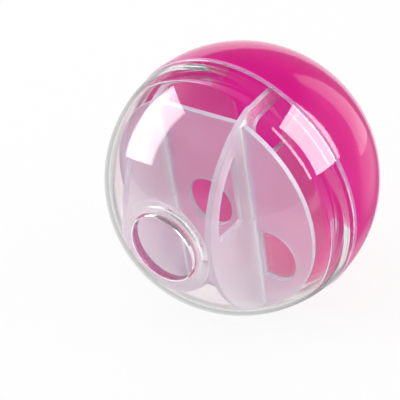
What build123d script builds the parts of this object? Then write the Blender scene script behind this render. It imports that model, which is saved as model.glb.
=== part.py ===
from build123d import *
import os
from math import sqrt

# Treat dispensing ball, in millimetres.
# The origin is the ball's centre. The clear half and its exit hole face -Y,
# the pink half faces +Y, and the two vanes of the maze stand upright, along Z.

# Half shells: the clear half is a step smaller than the pink one, so the pink rim stands proud
pink_radius = 30.0
clear_step = 0.15
pink_wall = 1.15
clear_wall = 1.15

# Parting line: the clear half's shoulder stands this far before the centre
shoulder_distance = 1.2
parting_gap = 0.15
rim_round = 0.25

# Neck of the clear half, which the pink half's socket closes over. Its inside is one straight
# wall from the neck's end down to where it meets the bowl
socket_wall = 1.25
socket_depth = 4.0
neck_clearance = 0.3
neck_wall = 0.9
neck_end_gap = 0.6
bead_clearance = 0.05
bead_radius = 0.5
bead_height = 1.6

# Exit hole at the clear pole, with a flat seat around it on the inside
exit_radius = 7.7
exit_depth = 2.3
exit_outer_round = 0.35
exit_inner_round = 0.5

# Maze: one round plate across the ball and two upright vanes through it, which end in a straight
# back edge at a share of their radius
vane_clearance = 0.25
plate_clearance = 0.77
sheet = 1.3
edge_round = 0.2
corner_round = 0.25
plate_distance = 10.1
vane_spacing = 21.0
vane_back_share = 0.516

# Half-lapped slots where the vanes pass through the plate
slot_clearance = 0.1
lap_gap = 0.1

# Holes that the treats fall through, with shares of the strip, segment or flat they are cut in
middle_hole_share = 0.57
middle_hole_rise = 1.0
side_hole_radius_share = 0.415
side_hole_bulge_share = 0.585
side_hole_drop_share = 0.36
side_hole_margin = 1.05
vane_hole_margin = 3.1
vane_hole_foot = 1.8
vane_hole_web = 3.4
window_margin = 4.4
window_web = 3.1
window_foot_share = 0.42
window_round = 2.5
hole_round = 0.6


def on_sphere(radius, half_width):
    """Distance from the centre, along the axis, of a ring of this half width."""
    return sqrt(radius**2 - half_width**2)


# Sizes that follow from the values above
clear_radius = pink_radius - clear_step
pink_inner = pink_radius - pink_wall
clear_inner = clear_radius - clear_wall
socket_radius = pink_radius - socket_wall
neck_outer = socket_radius - neck_clearance
neck_inner = neck_outer - neck_wall
neck_end = socket_depth - neck_end_gap
mouth_distance = shoulder_distance - parting_gap
vane_offset = vane_spacing / 2
vane_inner_face = vane_offset - sheet / 2
vane_outer_face = vane_offset + sheet / 2
vane_radius = on_sphere(clear_inner - vane_clearance, vane_outer_face)
vane_flat = on_sphere(neck_inner - vane_clearance, vane_outer_face)
vane_back = vane_back_share * vane_radius
plate_front = plate_distance + sheet
plate_radius = on_sphere(clear_inner - plate_clearance, plate_front)
plate_flat = on_sphere(plate_radius, vane_offset)
slot_width = sheet + 2 * slot_clearance

# Clear half shell: a bowl with its neck at the mouth and the exit hole at its pole
exit_edge = on_sphere(clear_radius, exit_radius)
seat_distance = exit_edge - exit_depth
seat_radius = on_sphere(clear_inner, seat_distance)
shoulder_radius = on_sphere(clear_radius, shoulder_distance)
bowl_distance = on_sphere(clear_inner, neck_inner)
outer_middle = clear_radius / sqrt(2)
inner_middle = clear_inner / sqrt(2)

with BuildPart() as clear_half_shell:
    with BuildSketch(Plane.XY) as clear_profile:
        with BuildLine():
            ThreePointArc(
                (exit_radius, -exit_edge),
                (outer_middle, -outer_middle),
                (shoulder_radius, -shoulder_distance),
            )
            Polyline(
                (shoulder_radius, -shoulder_distance),
                (neck_outer, -shoulder_distance),
                (neck_outer, neck_end),
                (neck_inner, neck_end),
                (neck_inner, -bowl_distance),
            )
            ThreePointArc(
                (neck_inner, -bowl_distance),
                (inner_middle, -inner_middle),
                (seat_radius, -seat_distance),
            )
            Polyline(
                (seat_radius, -seat_distance),
                (exit_radius, -seat_distance),
                (exit_radius, -exit_edge),
            )
        make_face()
        exit_corners = clear_profile.vertices().group_by(Axis.X)[0].sort_by(Axis.Y)
        fillet(exit_corners[0], exit_outer_round)
        fillet(exit_corners[1], exit_inner_round)
        rim_corner = clear_profile.vertices().sort_by(Axis.X)[-1]
        fillet(rim_corner, rim_round)
        neck_corners = clear_profile.vertices().group_by(Axis.Y)[-1]
        fillet(neck_corners, rim_round)
        # The closing bead, a low round ring on the neck
        with Locations((socket_radius - bead_clearance - bead_radius, bead_height)):
            Circle(bead_radius)
    revolve(axis=Axis.Y)
clear_half_shell.part.label = "clear_half_shell"

# Pink half shell: the bowl that holds the treats, with a socket for the neck at its mouth
mouth_radius = on_sphere(pink_radius, mouth_distance)
socket_floor_radius = on_sphere(pink_inner, socket_depth)
pink_outer_middle = pink_radius / sqrt(2)
pink_inner_middle = pink_inner / sqrt(2)

with BuildPart() as pink_half_shell:
    with BuildSketch(Plane.XY) as pink_profile:
        with BuildLine():
            ThreePointArc(
                (0, pink_radius),
                (pink_outer_middle, pink_outer_middle),
                (mouth_radius, -mouth_distance),
            )
            Polyline(
                (mouth_radius, -mouth_distance),
                (socket_radius, -mouth_distance),
                (socket_radius, socket_depth),
                (socket_floor_radius, socket_depth),
            )
            ThreePointArc(
                (socket_floor_radius, socket_depth),
                (pink_inner_middle, pink_inner_middle),
                (0, pink_inner),
            )
            Line((0, pink_inner), (0, pink_radius))
        make_face()
        mouth_corners = pink_profile.vertices().group_by(Axis.Y)[0]
        fillet(mouth_corners, rim_round)
    revolve(axis=Axis.Y)
pink_half_shell.part.label = "pink_half_shell"

# Maze plate: a round plate across the ball with two flats, holes and a slot for each vane
middle_hole_radius = middle_hole_share * vane_inner_face
segment_width = plate_radius - vane_outer_face
side_hole_radius = side_hole_radius_share * segment_width
side_hole_bulge = side_hole_bulge_share * segment_width
side_hole_drop = side_hole_drop_share * plate_flat
side_hole_wall = vane_outer_face + side_hole_margin
side_hole_centre = side_hole_wall + side_hole_bulge - side_hole_radius

with BuildSketch(Plane.XY) as side_hole:
    with Locations((side_hole_centre, -side_hole_drop)):
        Circle(side_hole_radius)
    with Locations((side_hole_wall, -side_hole_drop)):
        Rectangle(
            2 * side_hole_radius,
            2 * side_hole_radius,
            align=(Align.MIN, Align.CENTER),
            mode=Mode.INTERSECT,
        )
    fillet(side_hole.vertices(), hole_round)

with BuildPart() as maze_plate:
    with BuildSketch(Plane.XZ.offset(plate_distance)) as plate_outline:
        Circle(plate_radius)
        Rectangle(2 * plate_radius, 2 * plate_flat, mode=Mode.INTERSECT)
        with Locations((-vane_offset, -lap_gap / 2), (vane_offset, -lap_gap / 2)):
            Rectangle(
                slot_width,
                plate_radius,
                align=(Align.CENTER, Align.MIN),
                mode=Mode.SUBTRACT,
            )
        fillet(plate_outline.vertices(), corner_round)
        with Locations((0, middle_hole_rise)):
            Circle(middle_hole_radius, mode=Mode.SUBTRACT)
        add(side_hole.sketch, mode=Mode.SUBTRACT)
    extrude(amount=sheet)
    plate_edges = faces().filter_by(Axis.Y).edges()
    fillet(plate_edges, edge_round)
maze_plate.part.label = "maze_plate"

# Window of the right vane, high up on the pink side of the plate
window_radius = vane_radius - window_margin
window_wall = plate_distance - window_web
window_back = vane_back - window_margin
window_foot = window_foot_share * vane_radius

with BuildSketch(Plane.XY) as window:
    Circle(window_radius)
    with Locations((-window_wall, window_foot)):
        Rectangle(
            window_wall + window_back,
            window_radius,
            align=(Align.MIN, Align.MIN),
            mode=Mode.INTERSECT,
        )
    fillet(window.vertices(), window_round)

# Quarter-round hole of the right vane, on the exit side of the plate
vane_hole_radius = vane_radius - vane_hole_margin
vane_hole_wall = plate_front + vane_hole_web

with BuildSketch(Plane.XY) as vane_hole:
    Circle(vane_hole_radius)
    with Locations((-vane_hole_wall, vane_hole_foot)):
        Rectangle(
            vane_hole_radius,
            vane_hole_radius,
            align=(Align.MAX, Align.MIN),
            mode=Mode.INTERSECT,
        )
    fillet(vane_hole.vertices(), hole_round)

with BuildPart() as right_maze_vane:
    with BuildSketch(Plane.YZ.offset(vane_offset - sheet / 2)) as right_outline:
        Circle(vane_radius)
        Rectangle(2 * vane_radius, 2 * vane_flat, mode=Mode.INTERSECT)
        with Locations((vane_back, 0)):
            Rectangle(
                vane_radius,
                2 * vane_radius,
                align=(Align.MIN, Align.CENTER),
                mode=Mode.SUBTRACT,
            )
        with Locations((-plate_distance - sheet / 2, lap_gap / 2)):
            Rectangle(
                slot_width,
                vane_radius,
                align=(Align.CENTER, Align.MAX),
                mode=Mode.SUBTRACT,
            )
        fillet(right_outline.vertices(), corner_round)
        add(window.sketch, mode=Mode.SUBTRACT)
        add(vane_hole.sketch, mode=Mode.SUBTRACT)
    extrude(amount=sheet)
    right_edges = faces().filter_by(Axis.X).edges()
    fillet(right_edges, edge_round)
right_maze_vane.part.label = "right_maze_vane"

with BuildPart() as left_maze_vane:
    with BuildSketch(Plane.YZ.offset(-vane_offset - sheet / 2)) as left_outline:
        Circle(vane_radius)
        Rectangle(2 * vane_radius, 2 * vane_flat, mode=Mode.INTERSECT)
        with Locations((vane_back, 0)):
            Rectangle(
                vane_radius,
                2 * vane_radius,
                align=(Align.MIN, Align.CENTER),
                mode=Mode.SUBTRACT,
            )
        with Locations((-plate_distance - sheet / 2, lap_gap / 2)):
            Rectangle(
                slot_width,
                vane_radius,
                align=(Align.CENTER, Align.MAX),
                mode=Mode.SUBTRACT,
            )
        fillet(left_outline.vertices(), corner_round)
    extrude(amount=sheet)
    left_edges = faces().filter_by(Axis.X).edges()
    fillet(left_edges, edge_round)
left_maze_vane.part.label = "left_maze_vane"

os.makedirs("parts", exist_ok=True)
export_step(clear_half_shell.part, "parts/clear_half_shell.step")
export_step(pink_half_shell.part, "parts/pink_half_shell.step")
export_step(maze_plate.part, "parts/maze_plate.step")
export_step(right_maze_vane.part, "parts/right_maze_vane.step")
export_step(left_maze_vane.part, "parts/left_maze_vane.step")
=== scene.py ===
import math

import bmesh
import bpy
from mathutils import Matrix, Vector


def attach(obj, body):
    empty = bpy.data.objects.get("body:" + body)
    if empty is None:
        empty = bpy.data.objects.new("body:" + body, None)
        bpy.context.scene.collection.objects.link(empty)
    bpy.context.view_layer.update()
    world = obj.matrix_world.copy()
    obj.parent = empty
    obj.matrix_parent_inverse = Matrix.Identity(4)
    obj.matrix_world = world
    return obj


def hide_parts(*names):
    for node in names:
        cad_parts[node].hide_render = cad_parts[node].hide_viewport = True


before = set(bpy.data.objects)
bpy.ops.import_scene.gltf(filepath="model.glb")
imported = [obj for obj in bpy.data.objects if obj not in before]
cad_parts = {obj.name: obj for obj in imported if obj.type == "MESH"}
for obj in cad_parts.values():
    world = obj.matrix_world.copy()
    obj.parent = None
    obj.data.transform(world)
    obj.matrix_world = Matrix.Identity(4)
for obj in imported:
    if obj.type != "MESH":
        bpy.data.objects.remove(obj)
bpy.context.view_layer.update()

mm = 0.001  # outlines are drawn in millimetres
pole = 90.0  # degrees
fullTurn = 360.0
print("frame loaded:", sorted(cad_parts))

# Outlines and meshes
meshing = {
    "cornerSteps": 6, "samePoint": 1e-5, "weld": 1e-7, "sharpAngle": 40.0, "edgeSteps": 4, "faceLip": 0.04,
}


def halfChord(radius, offset):  # half the width of a circle at this distance from its centre
    return math.sqrt(radius ** 2 - offset ** 2)


def riseOf(height, radius):  # angle of the point of a circle at this height
    return math.degrees(math.asin(height / radius))


def angleOf(across, up):
    return math.degrees(math.atan2(up, across))


def arcRun(radius, start, end, steps, centre=(0.0, 0.0)):  # angles in degrees
    points = []
    for i in range(steps + 1):
        angle = math.radians(start + (end - start) * i / steps)
        points.append(Vector((centre[0] + radius * math.cos(angle), centre[1] + radius * math.sin(angle))))
    return points


def lineRun(start, end, steps=1):
    return [Vector(start).lerp(Vector(end), i / steps) for i in range(steps + 1)]


def shortened(run, cut):  # takes this length off the start of a run
    run = list(run)
    while cut > 0 and len(run) > 1:
        step = (run[1] - run[0]).length
        if step > cut:
            run[0] = run[0].lerp(run[1], cut / step)
            break
        cut -= step
        run.pop(0)
    return run


def softOutline(path, closed=True, steps=meshing["cornerSteps"]):
    # joins runs end to end; each comes with the rounding of the corner after it
    runs = [run for run, rounding in path]
    rounds = [rounding for run, rounding in path]
    outline = []
    for i, run in enumerate(runs):
        last = i == len(runs) - 1 and not closed
        before = rounds[i - 1] if i or closed else 0.0
        after = 0.0 if last else rounds[i]
        kept = shortened(run, before)
        kept = shortened(kept[::-1], after)[::-1]
        outline += kept
        if last or not after:
            continue
        corner = run[-1]
        far = shortened(runs[(i + 1) % len(runs)], after)[0]
        inward = (kept[-1] - corner).normalized()
        outward = (far - corner).normalized()
        weight = math.sin(inward.angle(outward) / 2)
        for k in range(1, steps):
            t = k / steps
            a = (1 - t) ** 2
            b = 2 * weight * t * (1 - t)
            c = t * t
            outline.append((kept[-1] * a + corner * b + far * c) / (a + b + c))
    points = []
    for point in outline:
        if not points or (point - points[-1]).length > meshing["samePoint"]:
            points.append(point)
    if closed and (points[0] - points[-1]).length < meshing["samePoint"]:
        points.pop()
    return points


def finishMesh(bm, name):
    bmesh.ops.remove_doubles(bm, verts=bm.verts, dist=meshing["weld"])
    bmesh.ops.recalc_face_normals(bm, faces=bm.faces)
    mesh = bpy.data.meshes.new(name)
    bm.to_mesh(mesh)
    bm.free()
    mesh.shade_smooth()
    mesh.set_sharp_from_angle(angle=math.radians(meshing["sharpAngle"]))
    piece = bpy.data.objects.new(name, mesh)
    bpy.context.scene.collection.objects.link(piece)
    return piece


def turned(name, outline, closed, segments):
    # spins an outline of (radius, y) points about the ball's Y axis
    bm = bmesh.new()
    verts = [bm.verts.new((p.x * mm, p.y * mm, 0.0)) for p in outline]
    edges = [bm.edges.new(pair) for pair in zip(verts, verts[1:])]
    if closed:
        edges.append(bm.edges.new((verts[-1], verts[0])))
    bmesh.ops.spin(
        bm, geom=verts + edges, cent=(0, 0, 0), axis=(0, 1, 0),
        angle=2 * math.pi, steps=segments, use_merge=True, use_duplicate=False,
    )
    return finishMesh(bm, name)


def turningOf(loop):  # above zero for a loop that runs anticlockwise
    return sum(a.x * b.y - b.x * a.y for a, b in zip(loop, loop[1:] + loop[:1]))


def cutSheet(name, outer, holes, thickness, edge, place):
    # a flat moulded sheet with rounded edges; place(u, v, w) gives a point of it
    loops = [outer if turningOf(outer) > 0 else outer[::-1]]
    loops += [hole if turningOf(hole) < 0 else hole[::-1] for hole in holes]
    half = thickness / 2
    rows = [(edge + meshing["faceLip"], half), (edge, half)]
    for k in range(1, meshing["edgeSteps"] + 1):
        angle = math.radians(pole * k / meshing["edgeSteps"])
        rows.append((edge * (1 - math.sin(angle)), half - edge * (1 - math.cos(angle))))
    rows += [(inset, -height) for inset, height in rows[::-1]]
    bm = bmesh.new()
    rims = ([], [])
    for loop in loops:
        count = len(loop)
        inward = []
        for i in range(count):
            along = (loop[(i + 1) % count] - loop[i]).normalized() + (loop[i] - loop[i - 1]).normalized()
            inward.append(Vector((-along.y, along.x)).normalized())
        grid = []
        for inset, height in rows:
            ring = []
            for point, normal in zip(loop, inward):
                spot = place(point.x + normal.x * inset, point.y + normal.y * inset, height)
                ring.append(bm.verts.new([value * mm for value in spot]))
            grid.append(ring)
        for upper, lower in zip(grid, grid[1:]):
            for i in range(count):
                j = (i + 1) % count
                face = bm.faces.new((upper[i], upper[j], lower[j], lower[i]))
                face.material_index = 1  # the edge has its own material; on the maze it is a darker copy of the frosted plastic, painted shade
        for rim, ring in zip(rims, (grid[0], grid[-1])):
            rim.extend(bm.edges.get((ring[i], ring[(i + 1) % count])) for i in range(count))
    for rim in rims:
        bmesh.ops.triangle_fill(bm, use_beauty=True, edges=rim)
    return finishMesh(bm, name)


# Nodes: an end is a number, a colour or another node's socket
def newMaterial(name):
    material = bpy.data.materials.new(name)
    material.use_nodes = True
    return material, material.node_tree, material.node_tree.nodes["Principled BSDF"]


def joined(tree, end, socket):
    if isinstance(end, bpy.types.NodeSocket):
        tree.links.new(end, socket)
    else:
        socket.default_value = end


def alongAxis(tree, axis):
    coords = tree.nodes.new("ShaderNodeTexCoord")
    split = tree.nodes.new("ShaderNodeSeparateXYZ")
    tree.links.new(coords.outputs["Object"], split.inputs[0])
    return split.outputs[axis]


def noiseOf(tree, scale, detail=2.0, roughness=0.5):
    coords = tree.nodes.new("ShaderNodeTexCoord")
    noise = tree.nodes.new("ShaderNodeTexNoise")
    noise.inputs["Scale"].default_value = scale
    noise.inputs["Detail"].default_value = detail
    noise.inputs["Roughness"].default_value = roughness
    tree.links.new(coords.outputs["Object"], noise.inputs["Vector"])
    return noise.outputs["Fac"]


def spread(tree, source, reach, values):  # turns one range of numbers into another
    ramp = tree.nodes.new("ShaderNodeMapRange")
    ramp.inputs["From Min"].default_value = reach[0]
    ramp.inputs["From Max"].default_value = reach[1]
    ramp.inputs["To Min"].default_value = values[0]
    ramp.inputs["To Max"].default_value = values[1]
    tree.links.new(source, ramp.inputs["Value"])
    return ramp.outputs["Result"]


def mixOf(tree, factor, first, second, kind="FLOAT"):
    mix = tree.nodes.new("ShaderNodeMix")
    mix.data_type = kind
    tree.links.new(factor, mix.inputs["Factor"])
    joined(tree, first, mix.inputs["A"])
    joined(tree, second, mix.inputs["B"])
    return mix.outputs["Result"]


def mathOf(tree, operation, *ends):
    node = tree.nodes.new("ShaderNodeMath")
    node.operation = operation
    for end, socket in zip(ends, node.inputs):
        joined(tree, end, socket)
    return node.outputs[0]


def vectorOf(tree, operation, output, *ends):
    node = tree.nodes.new("ShaderNodeVectorMath")
    node.operation = operation
    for end, socket in zip(ends, node.inputs):
        joined(tree, end, socket)
    return node.outputs[output]


def tintOf(tree, factor, reach, dark, light):
    tint = tree.nodes.new("ShaderNodeValToRGB")
    low, high = tint.color_ramp.elements
    low.position = reach[0]
    high.position = reach[1]
    low.color = dark
    high.color = light
    tree.links.new(factor, tint.inputs["Fac"])
    return tint.outputs["Color"]


def bumpOf(tree, source, strength, distance):
    bump = tree.nodes.new("ShaderNodeBump")
    bump.inputs["Strength"].default_value = strength
    bump.inputs["Distance"].default_value = distance
    tree.links.new(source, bump.inputs["Height"])
    return bump.outputs["Normal"]


def dress(piece, body, node, slot, *materials):
    for material in materials:
        piece.data.materials.append(material)
    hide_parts(node)
    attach(piece, body)
    print("made", piece.name, len(piece.data.polygons), "faces")
    return piece


# Clear styrene: noise is (scale, detail, roughness), bump is (strength, distance), reaches are in metres
clearLook = {
    "ior": 1.57, "tint": (0.8, 0.8, 0.81, 1), "density": 40.0,
    "edgeFacing": (0.70, 0.76), "edgeTint": (0.99, 0.15), "shoulderReach": (-0.0030, -0.0016),
    "acrossAxis": (1, 0, 1), "hazeReach": (0.0108, 0.0118), "haze": (0.97, 1.0),
    "scuffs": (900, 4, 0.6), "scuffReach": (0.45, 0.75), "roughness": (0.0, 0.03),
    "flow": (60, 1), "flowBump": (0.02, 0.0005),
}


def clearPlastic(look):
    material, tree, shader = newMaterial("clearStyrene")
    facing = tree.nodes.new("ShaderNodeLayerWeight").outputs["Facing"]
    grey = spread(tree, facing, look["edgeFacing"], look["edgeTint"])  # the wall greys, seen edge on
    shoulder = spread(tree, alongAxis(tree, "Y"), look["shoulderReach"], (0.0, 1.0))
    tint = mixOf(tree, shoulder, grey, look["edgeTint"][0])  # but not along the parting line
    coords = tree.nodes.new("ShaderNodeTexCoord")
    across = vectorOf(tree, "MULTIPLY", "Vector", coords.outputs["Object"], look["acrossAxis"])
    fromAxis = vectorOf(tree, "LENGTH", "Value", across)
    haze = spread(tree, fromAxis, look["hazeReach"], look["haze"])  # slight, round the exit hole
    scuffs = noiseOf(tree, *look["scuffs"])
    flow = noiseOf(tree, *look["flow"])
    joined(tree, tint, shader.inputs["Base Color"])
    joined(tree, haze, shader.inputs["Transmission Weight"])
    joined(tree, look["ior"], shader.inputs["IOR"])
    joined(tree, spread(tree, scuffs, look["scuffReach"], look["roughness"]), shader.inputs["Roughness"])
    joined(tree, bumpOf(tree, flow, *look["flowBump"]), shader.inputs["Normal"])
    depth = tree.nodes.new("ShaderNodeVolumeAbsorption")  # long ways through the wall turn grey
    depth.inputs["Color"].default_value = look["tint"]
    depth.inputs["Density"].default_value = look["density"]
    tree.links.new(depth.outputs["Volume"], tree.nodes["Material Output"].inputs["Volume"])
    return material


# Clear half: bowl, straight mouth with a neck and bead, and the round exit hole
clearHalf = {
    "radius": 29.85, "wall": 1.15, "shoulder": -1.2, "neckOuter": 28.45, "neckInner": 27.55, "neckEnd": 3.4,
    "beadRadius": 0.5, "beadCentre": (28.2, 1.6), "exitRadius": 7.7, "exitDepth": 2.3,
    "rimRound": 0.25, "neckRound": 0.1, "beadRound": 0.08, "mouthRound": 0.6, "seatRound": 0.5,
    "exitInnerRound": 0.5, "exitOuterRound": 0.35,
    "outerSteps": 110, "innerSteps": 90, "beadSteps": 10, "neckSteps": 8, "seatSteps": 2, "segments": 256,
}


def makeClearHalf(c):
    radius = c["radius"]
    inner = radius - c["wall"]
    exitEdge = halfChord(radius, c["exitRadius"])
    seat = exitEdge - c["exitDepth"]
    mouthStart = -halfChord(inner, c["neckInner"])
    beadReach = math.degrees(math.acos((c["neckOuter"] - c["beadCentre"][0]) / c["beadRadius"]))
    # corners as (radius, y), from the shoulder round the neck to the exit hole
    shoulderRim = (halfChord(radius, c["shoulder"]), c["shoulder"])
    neckRoot = (c["neckOuter"], c["shoulder"])
    neckTop = (c["neckOuter"], c["neckEnd"])
    neckLip = (c["neckInner"], c["neckEnd"])
    neckFoot = (c["neckInner"], mouthStart)
    seatRim = (halfChord(inner, seat), -seat)
    exitInside = (c["exitRadius"], -seat)
    exitOutside = (c["exitRadius"], -exitEdge)
    outside = arcRun(radius, riseOf(-exitEdge, radius), riseOf(c["shoulder"], radius), c["outerSteps"])
    bead = arcRun(c["beadRadius"], -beadReach, beadReach, c["beadSteps"], c["beadCentre"])
    bowl = arcRun(inner, riseOf(mouthStart, inner), riseOf(-seat, inner), c["innerSteps"])
    path = [
        (outside, c["rimRound"]),
        (lineRun(shoulderRim, neckRoot), c["neckRound"]),
        (lineRun(neckRoot, bead[0]), c["beadRound"]),
        (bead, c["beadRound"]),
        (lineRun(bead[-1], neckTop), c["rimRound"]),
        (lineRun(neckTop, neckLip), c["rimRound"]),
        (lineRun(neckLip, neckFoot, c["neckSteps"]), c["mouthRound"]),
        (bowl, c["seatRound"]),
        (lineRun(seatRim, exitInside, c["seatSteps"]), c["exitInnerRound"]),
        (lineRun(exitInside, exitOutside, c["seatSteps"]), c["exitOuterRound"]),
    ]
    return turned("clear_half", softOutline(path), True, c["segments"])


clearMaterial = clearPlastic(clearLook)
clearPiece = dress(makeClearHalf(clearHalf), "clear_half", "clear_half_shell", "clear_plastic", clearMaterial)
clearPiece.visible_shadow = False  # clear plastic lets the lamps in

# Pink styrene: thin enough for light to come through the wall
pinkLook = {
    "colour": (0.90, 0.006, 0.21, 1), "shade": (0.84, 0.005, 0.195, 1), "cloud": (45, 3),
    # rim is a painted glow: a paler pink painted along the rim's edge
    "cloudReach": (0.35, 0.65), "rim": (0.95, 0.22, 0.48, 1), "paintedRimGlowReach": (-0.0010, -0.0008),
    "scuffs": (700, 4, 0.6), "scuffReach": (0.4, 0.7), "roughness": (0.05, 0.11),
    "grain": (220, 2), "grainBump": (0.03, 0.0003), "ior": 1.5,
    "glow": 0.7, "glowDepth": 0.02, "glowReach": (1.0, 0.25, 0.5),
}


def pinkPlastic(look):
    material, tree, shader = newMaterial("pinkStyrene")
    cloud = noiseOf(tree, *look["cloud"])
    tint = tintOf(tree, cloud, look["cloudReach"], look["shade"], look["colour"])
    rim = spread(tree, alongAxis(tree, "Y"), look["paintedRimGlowReach"], (1.0, 0.0))  # painted glow: the base colour turns a paler pink near the rim
    scuffs = noiseOf(tree, *look["scuffs"])
    grain = noiseOf(tree, *look["grain"])
    joined(tree, mixOf(tree, rim, tint, look["rim"], "RGBA"), shader.inputs["Base Color"])
    joined(tree, spread(tree, scuffs, look["scuffReach"], look["roughness"]), shader.inputs["Roughness"])
    joined(tree, bumpOf(tree, grain, *look["grainBump"]), shader.inputs["Normal"])
    joined(tree, look["ior"], shader.inputs["IOR"])
    joined(tree, look["glow"], shader.inputs["Subsurface Weight"])
    joined(tree, look["glowDepth"], shader.inputs["Subsurface Scale"])
    joined(tree, look["glowReach"], shader.inputs["Subsurface Radius"])
    return material


# Pink half: the treat bowl with its socket
pinkHalf = {
    "radius": 30.0, "wall": 1.15, "mouth": -1.05, "socketRadius": 28.75, "socketDepth": 4.0,
    "rimRound": 0.25, "socketRound": 0.05,
    "outerSteps": 110, "innerSteps": 100, "socketSteps": 4, "segments": 256,
}


def makePinkHalf(c):
    inner = c["radius"] - c["wall"]
    mouthRim = (halfChord(c["radius"], c["mouth"]), c["mouth"])
    socketRim = (c["socketRadius"], c["mouth"])
    socketFoot = (c["socketRadius"], c["socketDepth"])
    socketFloor = (halfChord(inner, c["socketDepth"]), c["socketDepth"])
    path = [
        (arcRun(c["radius"], pole, riseOf(c["mouth"], c["radius"]), c["outerSteps"]), c["rimRound"]),
        (lineRun(mouthRim, socketRim), c["rimRound"]),
        (lineRun(socketRim, socketFoot, c["socketSteps"]), c["socketRound"]),
        (lineRun(socketFoot, socketFloor), c["socketRound"]),
        (arcRun(inner, riseOf(c["socketDepth"], inner), pole, c["innerSteps"]), 0.0),
    ]
    return turned("pink_half", softOutline(path, closed=False), False, c["segments"])


pinkMaterial = pinkPlastic(pinkLook)
dress(makePinkHalf(pinkHalf), "pink_half", "pink_half_shell", "pink_plastic", pinkMaterial)

# Frosted plastic of the maze: milky faces and edges, and clearer sheets behind the plate; the edges are
# darker as painted shade, and the joints carry a painted highlight
frosting = {
    "cloud": (120, 3), "cloudReach": (0.35, 0.65),
    "satin": (1500, 3), "satinReach": (0.3, 0.7), "satinBump": (0.06, 0.0001),
}
plateLook = {
    "colour": (0.93, 0.75, 0.89, 1), "milk": (0.88, 0.69, 0.84, 1),
    "clearness": 0.8, "ior": 1.3, "roughness": (0.42, 0.55),
    # painted highlight: a whiter, milkier band along the joints with the vanes
    "jointHighlight": {"axis": "X", "places": (-0.0105, 0.0105), "width": (0.00098, 0.0014),
             "colour": (0.98, 0.95, 0.98, 1), "clearness": 0.1},
}
# plate edges: milkier than the faces, and darker in colour as painted shade
shadedPlateEdgeLook = {
    "colour": (0.67, 0.60, 0.71, 1), "milk": (0.64, 0.57, 0.68, 1),
    "clearness": 0.3, "ior": 1.3, "roughness": (0.3, 0.42),
}
vaneLook = {
    "colour": (0.87, 0.82, 0.865, 1), "milk": (0.82, 0.76, 0.81, 1),
    "clearness": 0.8, "ior": 1.3, "roughness": (0.42, 0.55),
    "rear": {"reach": (-0.010, -0.006), "colour": (0.98, 0.84, 0.94, 1),
             "clearness": 0.88, "ior": 1.14, "roughness": (0.10, 0.16)},
    "jointHighlight": {"axis": "Y", "places": (-0.01075,), "width": (0.00098, 0.0014),
             "colour": (0.98, 0.96, 0.98, 1), "clearness": 0.1},
}
# vane edges: milkier than the faces, and darker in colour as painted shade
shadedVaneEdgeLook = {
    "colour": (0.74, 0.63, 0.74, 1), "milk": (0.70, 0.59, 0.70, 1),
    "clearness": 0.3, "ior": 1.3, "roughness": (0.3, 0.42),
    "rear": {"reach": (-0.002, 0.003), "colour": (0.98, 0.84, 0.94, 1),
             "clearness": 0.9, "ior": 1.05, "roughness": (0.0, 0.03)},
}


def jointHighlightOf(tree, jointHighlight):  # painted highlight: 1 along the lines where the plate and the vanes meet, and 0 away from them
    along = alongAxis(tree, jointHighlight["axis"])
    nearest = None
    for place in jointHighlight["places"]:
        gap = mathOf(tree, "ABSOLUTE", mathOf(tree, "SUBTRACT", along, place))
        nearest = mathOf(tree, "MINIMUM", nearest, gap) if nearest else gap
    return spread(tree, nearest, jointHighlight["width"], (1.0, 0.0))


def frostedPlastic(name, look):
    material, tree, shader = newMaterial(name)
    cloud = noiseOf(tree, *frosting["cloud"])
    satin = noiseOf(tree, *frosting["satin"])
    colour = tintOf(tree, cloud, frosting["cloudReach"], look["milk"], look["colour"])
    clearness = look["clearness"]
    ior = look["ior"]
    roughness = spread(tree, satin, frosting["satinReach"], look["roughness"])
    if "rear" in look:
        rear = look["rear"]
        behind = spread(tree, alongAxis(tree, "Y"), rear["reach"], (0.0, 1.0))
        rearRoughness = spread(tree, satin, frosting["satinReach"], rear["roughness"])
        colour = mixOf(tree, behind, colour, rear["colour"], "RGBA")
        clearness = mixOf(tree, behind, clearness, rear["clearness"])
        ior = mixOf(tree, behind, ior, rear["ior"])
        roughness = mixOf(tree, behind, roughness, rearRoughness)
    # painted highlight: whiter and milkier along the joints of plate and vanes
    if "jointHighlight" in look:
        jointHighlight = look["jointHighlight"]
        line = jointHighlightOf(tree, jointHighlight)
        colour = mixOf(tree, line, colour, jointHighlight["colour"], "RGBA")
        clearness = mixOf(tree, line, clearness, jointHighlight["clearness"])
    joined(tree, colour, shader.inputs["Base Color"])
    joined(tree, clearness, shader.inputs["Transmission Weight"])
    joined(tree, ior, shader.inputs["IOR"])
    joined(tree, roughness, shader.inputs["Roughness"])
    joined(tree, bumpOf(tree, satin, *frosting["satinBump"]), shader.inputs["Normal"])
    return material


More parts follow.
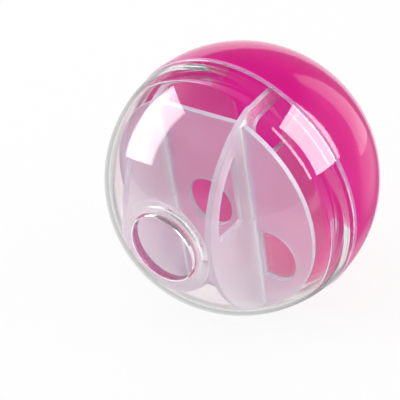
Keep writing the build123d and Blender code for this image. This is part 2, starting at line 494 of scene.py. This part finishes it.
# Maze: the round plate and the two vanes half-lapped through it
maze = {
    "sheet": 1.3, "edge": 0.2, "cornerRound": 0.3, "holeRound": 0.5, "slotWidth": 1.5, "lap": 0.05,
    "slotSteps": 20, "lapSteps": 2, "plateBack": -10.1, "vaneOffset": 10.5,
}
plate = {
    "radius": 25.4975, "arcSteps": 90, "flatSteps": 20,
    "middleHole": {"centre": (0.0, 1.0), "radius": 5.6145, "steps": 96},
    "sideHole": {"centre": (14.639, -8.365), "radius": 5.954, "wall": 12.2, "arcSteps": 60, "wallSteps": 12},
}
vane = {
    "radius": 26.174, "flat": 24.919, "back": 13.506,
    "backSteps": 36, "rearSteps": 14, "flatSteps": 16, "frontSteps": 90, "lowSteps": 6,
    "window": {"radius": 21.774, "front": -7.0, "back": 9.106, "foot": 10.993,
               "frontRound": 1.8, "backRound": 1.6, "footRound": 2.5, "roundSteps": 12,
               "arcSteps": 40, "sideSteps": 12, "footSteps": 16},
    "hole": {"radius": 23.074, "wall": -14.8, "foot": 1.8, "arcSteps": 50, "footSteps": 10, "wallSteps": 16},
}
sheetMiddle = maze["plateBack"] - maze["sheet"] / 2


def sideHoleLoop(c):
    x, z = c["centre"]
    reach = math.degrees(math.acos((c["wall"] - x) / c["radius"]))
    chord = halfChord(c["radius"], c["wall"] - x)
    bulge = arcRun(c["radius"], reach, -reach, c["arcSteps"], c["centre"])
    wall = lineRun((c["wall"], z - chord), (c["wall"], z + chord), c["wallSteps"])
    return softOutline([(bulge, maze["holeRound"]), (wall, maze["holeRound"])])


def makePlate(c):
    radius = c["radius"]
    offset = maze["vaneOffset"]
    lap = -maze["lap"]
    slotOut = offset + maze["slotWidth"] / 2
    slotIn = offset - maze["slotWidth"] / 2
    flat = halfChord(radius, offset)
    mouth = halfChord(radius, slotOut)
    leftEnd = angleOf(-slotOut, mouth) - fullTurn
    runs = [
        arcRun(radius, angleOf(slotOut, mouth), angleOf(offset, -flat), c["arcSteps"]),
        lineRun((offset, -flat), (-offset, -flat), c["flatSteps"]),
        arcRun(radius, angleOf(-offset, -flat), leftEnd, c["arcSteps"]),
        lineRun((-slotOut, mouth), (-slotOut, lap), maze["slotSteps"]),
        lineRun((-slotOut, lap), (-slotIn, lap), maze["lapSteps"]),
        lineRun((-slotIn, lap), (-slotIn, flat), maze["slotSteps"]),
        lineRun((-slotIn, flat), (slotIn, flat), c["flatSteps"]),
        lineRun((slotIn, flat), (slotIn, lap), maze["slotSteps"]),
        lineRun((slotIn, lap), (slotOut, lap), maze["lapSteps"]),
        lineRun((slotOut, lap), (slotOut, mouth), maze["slotSteps"]),
    ]
    outline = softOutline([(run, maze["cornerRound"]) for run in runs])
    middle = c["middleHole"]
    middleHole = arcRun(middle["radius"], 0.0, fullTurn, middle["steps"], middle["centre"])[:-1]

    def place(u, v, w):  # across the ball
        return u, sheetMiddle - w, v

    holes = [sideHoleLoop(c["sideHole"]), middleHole]
    return cutSheet("maze_plate_sheet", outline, holes, maze["sheet"], maze["edge"], place)


def windowLoop(c):
    radius, front, back, foot = c["radius"], c["front"], c["back"], c["foot"]
    frontTop = halfChord(radius, front)
    backTop = halfChord(radius, back)
    path = [
        (arcRun(radius, angleOf(back, backTop), angleOf(front, frontTop), c["arcSteps"]), c["frontRound"]),
        (lineRun((front, frontTop), (front, foot), c["sideSteps"]), c["footRound"]),
        (lineRun((front, foot), (back, foot), c["footSteps"]), c["footRound"]),
        (lineRun((back, foot), (back, backTop), c["sideSteps"]), c["backRound"]),
    ]
    return softOutline(path, steps=c["roundSteps"])


def vaneHoleLoop(c):
    radius, wall, foot = c["radius"], c["wall"], c["foot"]
    top = halfChord(radius, wall)
    tip = -halfChord(radius, foot)
    runs = [
        arcRun(radius, angleOf(wall, top), angleOf(tip, foot), c["arcSteps"]),
        lineRun((tip, foot), (wall, foot), c["footSteps"]),
        lineRun((wall, foot), (wall, top), c["wallSteps"]),
    ]
    return softOutline([(run, maze["holeRound"]) for run in runs])


def makeVane(c, name, offset, withHoles):
    radius, flat, back, lap = c["radius"], c["flat"], c["back"], maze["lap"]
    slotOut = sheetMiddle - maze["slotWidth"] / 2
    slotIn = sheetMiddle + maze["slotWidth"] / 2
    side = halfChord(radius, flat)
    backTop = halfChord(radius, back)
    outRim = -halfChord(radius, slotOut)
    inRim = -halfChord(radius, slotIn)
    runs = [
        lineRun((back, -backTop), (back, backTop), c["backSteps"]),
        arcRun(radius, angleOf(back, backTop), angleOf(side, flat), c["rearSteps"]),
        lineRun((side, flat), (-side, flat), c["flatSteps"]),
        arcRun(radius, angleOf(-side, flat), fullTurn + angleOf(slotOut, outRim), c["frontSteps"]),
        lineRun((slotOut, outRim), (slotOut, lap), maze["slotSteps"]),
        lineRun((slotOut, lap), (slotIn, lap), maze["lapSteps"]),
        lineRun((slotIn, lap), (slotIn, inRim), maze["slotSteps"]),
        arcRun(radius, angleOf(slotIn, inRim), angleOf(-side, -flat), c["lowSteps"]),
        lineRun((-side, -flat), (side, -flat), c["flatSteps"]),
        arcRun(radius, angleOf(side, -flat), angleOf(back, -backTop), c["rearSteps"]),
    ]
    outline = softOutline([(run, maze["cornerRound"]) for run in runs])
    holes = [windowLoop(c["window"]), vaneHoleLoop(c["hole"])] if withHoles else []

    def place(u, v, w):  # upright, along the ball's axis
        return offset + w, u, v

    return cutSheet(name, outline, holes, maze["sheet"], maze["edge"], place)


plateMaterial = frostedPlastic("frostedPlate", plateLook)
shadedPlateEdge = frostedPlastic("frostedPlateEdgeShaded", shadedPlateEdgeLook)
vaneMaterial = frostedPlastic("frostedVane", vaneLook)
shadedVaneEdge = frostedPlastic("frostedVaneEdgeShaded", shadedVaneEdgeLook)
dress(makePlate(plate), "maze", "maze_plate", "frosted_plastic", plateMaterial, shadedPlateEdge)
rightVane = makeVane(vane, "right_vane_sheet", maze["vaneOffset"], True)
dress(rightVane, "maze", "right_maze_vane", "frosted_plastic", vaneMaterial, shadedVaneEdge)
leftVane = makeVane(vane, "left_vane_sheet", -maze["vaneOffset"], False)
dress(leftVane, "maze", "left_maze_vane", "frosted_plastic", vaneMaterial, shadedVaneEdge)
for sheet in (rightVane, leftVane):
    sheet.visible_shadow = False  # thin frosted sheet passes most of the light on
print("ball assembled")

# Camera: angles in degrees, and the ball's centre in pixels of the square picture
view = {
    "azimuth": 41.7, "elevation": 34.2, "roll": -8.85, "lens": 144.0, "sensor": 36.0, "distance": 0.34826,
    "picture": 400, "ballPixel": (241.7, 178.6),
}


def makeCamera(c):
    azimuth, elevation, roll = (math.radians(c[name]) for name in ("azimuth", "elevation", "roll"))
    level = Vector((math.cos(azimuth), math.sin(azimuth), 0))
    outward = Vector((math.sin(azimuth), -math.cos(azimuth), 0))
    back = outward * math.cos(elevation) + Vector((0, 0, math.sin(elevation)))
    upright = back.cross(level)
    right = level * math.cos(roll) + upright * math.sin(roll)
    up = upright * math.cos(roll) - level * math.sin(roll)
    focal = c["lens"] / c["sensor"] * c["picture"]
    across, down = ((pixel - c["picture"] / 2) / focal for pixel in c["ballPixel"])
    toBall = right * across - up * down - back
    data = bpy.data.cameras.new("photoCamera")
    data.lens = c["lens"]
    data.sensor_width = c["sensor"]
    camera = bpy.data.objects.new("photoCamera", data)
    bpy.context.scene.collection.objects.link(camera)
    camera.matrix_world = Matrix((right, up, back)).transposed().to_4x4()
    camera.matrix_world.translation = -toBall.normalized() * c["distance"]
    bpy.context.scene.camera = camera
    return right, up, back


viewRight, viewUp, viewBack = makeCamera(view)
print("camera placed")


# Studio: places and directions are given as seen by the camera (right, up, back)
def toWorld(v):
    return viewRight * v[0] + viewUp * v[1] + viewBack * v[2]


def raysTo(tree, seen, mirrored, through, lighting):
    # a strength each for what the camera sees, mirrors show and plastic lets through, and for lighting
    beforeDiffuse = 0.5  # the depth is a whole number
    path = tree.nodes.new("ShaderNodeLightPath").outputs
    sharp = mathOf(tree, "MAXIMUM", path["Is Glossy Ray"], path["Is Transmission Ray"])
    early = mathOf(tree, "LESS_THAN", path["Diffuse Depth"], beforeDiffuse)
    result = mixOf(tree, path["Is Transmission Ray"], mirrored, through)
    result = mixOf(tree, mathOf(tree, "MULTIPLY", sharp, early), lighting, result)
    return mixOf(tree, path["Is Camera Ray"], result, seen)


floorLook = {
    "size": 3.0, "height": -0.0300, "colour": (0.86, 0.86, 0.86, 1),
    "white": {"seen": 0.88, "mirrored": 0.8, "through": 0.85, "lighting": 0.3},
}


def makeFloor(c):
    bm = bmesh.new()
    bmesh.ops.create_grid(bm, x_segments=1, y_segments=1, size=c["size"])
    mesh = bpy.data.meshes.new("floor")
    bm.to_mesh(mesh)
    bm.free()
    floor = bpy.data.objects.new("floor", mesh)
    floor.location.z = c["height"]
    bpy.context.scene.collection.objects.link(floor)
    material = bpy.data.materials.new("paleFloor")
    material.use_nodes = True
    tree = material.node_tree
    tree.nodes.clear()
    matt = tree.nodes.new("ShaderNodeBsdfDiffuse")
    matt.inputs["Color"].default_value = c["colour"]
    white = tree.nodes.new("ShaderNodeEmission")
    blend = tree.nodes.new("ShaderNodeMixShader")
    output = tree.nodes.new("ShaderNodeOutputMaterial")
    tree.links.new(raysTo(tree, **c["white"]), blend.inputs["Fac"])
    tree.links.new(matt.outputs[0], blend.inputs[1])
    tree.links.new(white.outputs[0], blend.inputs[2])
    tree.links.new(blend.outputs[0], output.inputs["Surface"])
    mesh.materials.append(material)
    floor.visible_glossy = False  # mirrors show the room's pale patches instead


room = {
    "colour": (1, 1, 1, 1), "seen": 1.0, "lighting": 0.92, "grey": (0.3, 0.1), "greyReach": (0.0, 0.8),
    "patches": [
        {"towards": (-0.177, 0.205, -0.963), "edge": (0.79, 0.835), "white": 1.0},
        {"towards": (-0.2, -0.98, 0.0), "edge": (0.2, 0.4), "white": 1.0},
        {"towards": (0.88, 0.35, -0.32), "edge": (0.72, 0.92), "white": 0.5},
        {"towards": (0.80, 0.12, -0.585), "edge": (0.9, 0.985), "white": 0.9},
        {"towards": (0.40, -0.40, -0.82), "edge": (0.93, 0.98), "white": 0.7},
    ],
}


def makeRoom(c):
    world = bpy.data.worlds.new("studioWorld")
    world.use_nodes = True
    tree = world.node_tree
    background = tree.nodes["Background"]
    background.inputs["Color"].default_value = c["colour"]
    direction = tree.nodes.new("ShaderNodeTexCoord").outputs["Generated"]
    height = tree.nodes.new("ShaderNodeSeparateXYZ")
    tree.links.new(direction, height.inputs[0])
    grey = spread(tree, height.outputs["Z"], c["greyReach"], c["grey"])
    mirrored = grey
    for patch in c["patches"]:
        facing = vectorOf(tree, "DOT_PRODUCT", "Value", direction, toWorld(patch["towards"]))
        pale = spread(tree, facing, patch["edge"], (0.0, patch["white"]))
        mirrored = mathOf(tree, "MAXIMUM", mirrored, pale)
    strength = raysTo(tree, c["seen"], mirrored, grey, c["lighting"])
    tree.links.new(strength, background.inputs["Strength"])
    bpy.context.scene.world = world


# Softboxes: one lamp for the highlights (shine) and one for the light (wash)
softboxes = {
    "leftBox": {"place": (-0.514, 0.306, -0.051), "tall": (0.508, 0.850, 0.14),
                "away": (-0.856, 0.510, -0.085), "size": (0.46, 0.387), "shine": 2.6, "wash": 1.44},
    "rightBox": {"place": (0.475, 0.279, 0.238), "tall": (-0.57, 0.80, 0.2),
                 "away": (0.791, 0.465, 0.397), "size": (0.50, 0.313), "shine": 5.4, "wash": 1.44},
    "backStrip": {"place": (0.4716, 0.5983, -0.2813), "tall": (0.272, 0.9586, -0.0832),
                  "away": (0.704, -0.269, -0.658), "size": (1.076, 0.194), "shine": 0.637, "wash": 0.273},
}


def makeSoftbox(name, c):
    away = toWorld(c["away"]).normalized()
    wide = toWorld(c["tall"]).cross(away).normalized()
    tall = away.cross(wide)
    for use in ("shine", "wash"):
        lamp = bpy.data.lights.new(name + use.title(), "AREA")
        lamp.shape = "RECTANGLE"
        lamp.size_y, lamp.size = c["size"]
        lamp.energy = c[use]
        holder = bpy.data.objects.new(lamp.name, lamp)
        holder.visible_diffuse = use == "wash"
        holder.visible_glossy = use == "shine"
        holder.visible_transmission = use == "shine"
        bpy.context.scene.collection.objects.link(holder)
        holder.matrix_world = Matrix((wide, tall, away)).transposed().to_4x4()
        holder.matrix_world.translation = toWorld(c["place"])


makeFloor(floorLook)
makeRoom(room)
for boxName, box in softboxes.items():
    makeSoftbox(boxName, box)
bounces = {"all": 40, "mirrored": 32, "through": 32}  # light runs round inside the clear wall
bpy.context.scene.cycles.max_bounces = bounces["all"]
bpy.context.scene.cycles.glossy_bounces = bounces["mirrored"]
bpy.context.scene.cycles.transmission_bounces = bounces["through"]
bpy.context.scene.view_settings.view_transform = "Standard"
print("studio lit")
